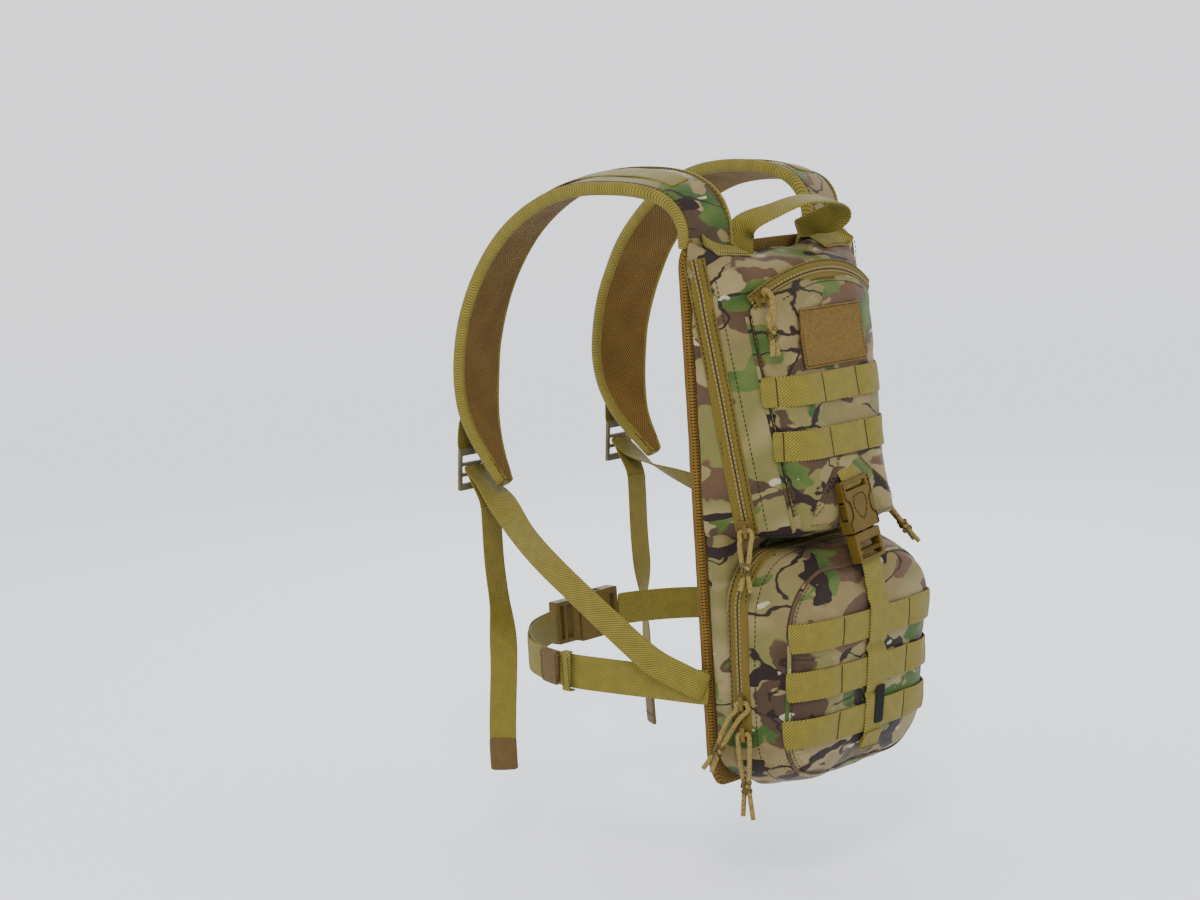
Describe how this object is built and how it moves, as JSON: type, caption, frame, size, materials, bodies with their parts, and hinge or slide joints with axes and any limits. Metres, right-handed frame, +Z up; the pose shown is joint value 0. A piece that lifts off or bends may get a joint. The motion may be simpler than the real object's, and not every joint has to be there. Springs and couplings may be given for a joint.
{
  "type": "two-strap hydration backpack",
  "caption": "Slim two-strap backpack with zipped compartments, webbing rows, a buckled closure strap, padded shoulder straps and a waist belt, in its worn shape.",
  "frame": {"origin": "centre of the back panel's wearer-side face", "axes": "+Z up along the back panel, +Y towards the wearer, +X to the wearer's right"},
  "size_m": [0.3008, 0.3763, 0.541],
  "materials": {
    "camo_fabric": "printed 600D polyester twill",
    "webbing": "ribbed nylon webbing",
    "spacer_mesh": "knitted spacer mesh",
    "lining_fabric": "coated lining",
    "foam": "closed-cell foam",
    "zip_tape": "woven zip tape with a nylon coil",
    "zip_slider": "enamelled die casting",
    "paracord": "braided cord",
    "loop_pile": "loop pile",
    "label_fabric": "plain woven label",
    "buckle_plastic": "moulded acetal",
    "lock_plastic": "moulded nylon"
  },
  "bodies": {
    "root": {"back_mesh": "spacer_mesh", "back_foam": "foam", "main_shell": "camo_fabric", "bladder_sleeve": "lining_fabric", "side_zip_left": "zip_tape", "side_zip_right": "zip_tape", "front_pocket": "camo_fabric", "pocket_zip": "zip_tape", "loop_patch": "loop_pile", "pocket_webbing_upper": "webbing", "pocket_webbing_lower": "webbing", "yoke": "camo_fabric", "buckle_loop": "webbing", "front_buckle_female": "buckle_plastic", "front_buckle_male": "buckle_plastic", "closure_strap": "webbing", "label": "label_fabric", "pouch_shell": "camo_fabric", "pouch_front": "camo_fabric", "pouch_zip": "zip_tape", "pouch_slider_lower": "zip_slider", "pouch_webbing_1": "webbing", "pouch_webbing_2": "webbing", "pouch_webbing_3": "webbing", "top_band_left": "webbing", "top_band_right": "webbing"},
    "side_slider_left": {"side_slider_left": "zip_slider"},
    "side_slider_right": {"side_slider_right": "zip_slider"},
    "side_pull_left": {"side_pull_left": "paracord"},
    "side_pull_right": {"side_pull_right": "paracord"},
    "pocket_slider": {"pocket_slider": "zip_slider"},
    "pocket_pull": {"pocket_pull": "paracord"},
    "pouch_slider": {"pouch_slider_upper": "zip_slider"},
    "pouch_pull_upper": {"pouch_pull_upper": "paracord"},
    "pouch_pull_lower": {"pouch_pull_lower": "paracord"},
    "handle": {"grab_handle": "webbing"},
    "left_strap": {"strap_pad_left": "camo_fabric", "strap_lining_left": "spacer_mesh", "strap_webbing_left": "webbing", "ladder_lock_left": "lock_plastic", "lock_loop_left": "webbing", "adjuster_left": "webbing"},
    "right_strap": {"strap_pad_right": "camo_fabric", "strap_lining_right": "spacer_mesh", "strap_webbing_right": "webbing", "ladder_lock_right": "lock_plastic", "lock_loop_right": "webbing", "adjuster_right": "webbing"},
    "left_tail": {"tail_left": "webbing"},
    "right_tail": {"tail_right": "webbing"},
    "belt": {"belt_left": "webbing", "belt_right": "webbing", "belt_keeper": "webbing", "belt_buckle_female": "buckle_plastic", "belt_buckle_male": "buckle_plastic"},
    "front_prong_left": {"front_prong_left": "buckle_plastic"},
    "front_prong_right": {"front_prong_right": "buckle_plastic"},
    "belt_prong_left": {"belt_prong_left": "buckle_plastic"},
    "belt_prong_right": {"belt_prong_right": "buckle_plastic"}
  },
  "joints": [
    {"name": "left_strap_swing", "type": "hinge", "parent": "root", "child": "left_strap", "pos_m": [-0.109, -0.009, -0.128], "axis": [0.0859, 0.0027, 0.9963], "range_deg": [0, 50]},
    {"name": "right_strap_swing", "type": "hinge", "parent": "root", "child": "right_strap", "pos_m": [0.109, -0.009, -0.128], "axis": [0.0859, -0.0027, -0.9963], "range_deg": [0, 50]},
    {"name": "left_tail_swing", "type": "hinge", "parent": "left_strap", "child": "left_tail", "pos_m": [-0.098, 0.244, 0.012], "axis": [1, 0, 0], "range_deg": [-8, 50]},
    {"name": "right_tail_swing", "type": "hinge", "parent": "right_strap", "child": "right_tail", "pos_m": [0.098, 0.244, 0.012], "axis": [1, 0, 0], "range_deg": [-8, 50]},
    {"name": "belt_lift", "type": "hinge", "parent": "root", "child": "belt", "pos_m": [0, -0.009, -0.128], "axis": [1, 0, 0], "range_deg": [0, 15]},
    {"name": "handle_fold", "type": "hinge", "parent": "root", "child": "handle", "pos_m": [0, -0.01, 0.2435], "axis": [1, 0, 0], "range_deg": [-35, 10]},
    {"name": "side_slider_left_travel", "type": "slide", "parent": "root", "child": "side_slider_left", "axis": [-0.0715, 0.1088, 0.9915], "range_m": [0, 0.2]},
    {"name": "side_slider_right_travel", "type": "slide", "parent": "root", "child": "side_slider_right", "axis": [0.0715, 0.1088, 0.9915], "range_m": [0, 0.2]},
    {"name": "side_pull_left_swing", "type": "hinge", "parent": "side_slider_left", "child": "side_pull_left", "pos_m": [-0.09401, -0.04622, 0.004], "axis": [-0.5445, 0.8286, -0.1302], "range_deg": [0, 80]},
    {"name": "side_pull_right_swing", "type": "hinge", "parent": "side_slider_right", "child": "side_pull_right", "pos_m": [0.09401, -0.04622, 0.004], "axis": [-0.5445, -0.8286, 0.1302], "range_deg": [0, 60]},
    {"name": "pocket_slider_travel", "type": "hinge", "parent": "root", "child": "pocket_slider", "pos_m": [0, -0.00674, 0.08987], "axis": [0, 0.8988, 0.4384], "range_deg": [0, 62]},
    {"name": "pocket_pull_swing", "type": "hinge", "parent": "pocket_slider", "child": "pocket_pull", "pos_m": [-0.07152, -0.06417, 0.19429], "axis": [0, -0.8988, -0.4384], "range_deg": [0, 38]},
    {"name": "pouch_slider_travel", "type": "slide", "parent": "root", "child": "pouch_slider", "axis": [0, 0, 1], "range_m": [0, 0.065]},
    {"name": "pouch_pull_upper_swing", "type": "hinge", "parent": "pouch_slider", "child": "pouch_pull_upper", "pos_m": [-0.10984, -0.04559, -0.137], "axis": [-0.3219, 0.9468, 0], "range_deg": [0, 70]},
    {"name": "pouch_pull_lower_swing", "type": "hinge", "parent": "root", "child": "pouch_pull_lower", "pos_m": [-0.10984, -0.04559, -0.163], "axis": [-0.3219, 0.9468, 0], "range_deg": [0, 80]},
    {"name": "front_prong_left_squeeze", "type": "hinge", "parent": "root", "child": "front_prong_left", "pos_m": [-0.01597, -0.09842, -0.00667], "axis": [0.0187, 0.9863, -0.164], "range_deg": [0, 12], "stiffness_Nm_per_rad": 0.06},
    {"name": "front_prong_right_squeeze", "type": "hinge", "parent": "root", "child": "front_prong_right", "pos_m": [0.00589, -0.09842, -0.00418], "axis": [-0.0187, -0.9863, 0.164], "range_deg": [0, 12], "stiffness_Nm_per_rad": 0.06},
    {"name": "belt_prong_left_squeeze", "type": "hinge", "parent": "belt", "child": "belt_prong_left", "pos_m": [-0.00989, 0.232, -0.11965], "axis": [0, -1, 0], "range_deg": [0, 12], "stiffness_Nm_per_rad": 0.06},
    {"name": "belt_prong_right_squeeze", "type": "hinge", "parent": "belt", "child": "belt_prong_right", "pos_m": [-0.00989, 0.232, -0.09435], "axis": [0, 1, 0], "range_deg": [0, 12], "stiffness_Nm_per_rad": 0.06}
  ],
  "couplings": [
    {"joint": "front_prong_right_squeeze", "follows": "front_prong_left_squeeze", "ratio": 1},
    {"joint": "belt_prong_right_squeeze", "follows": "belt_prong_left_squeeze", "ratio": 1}
  ]
}
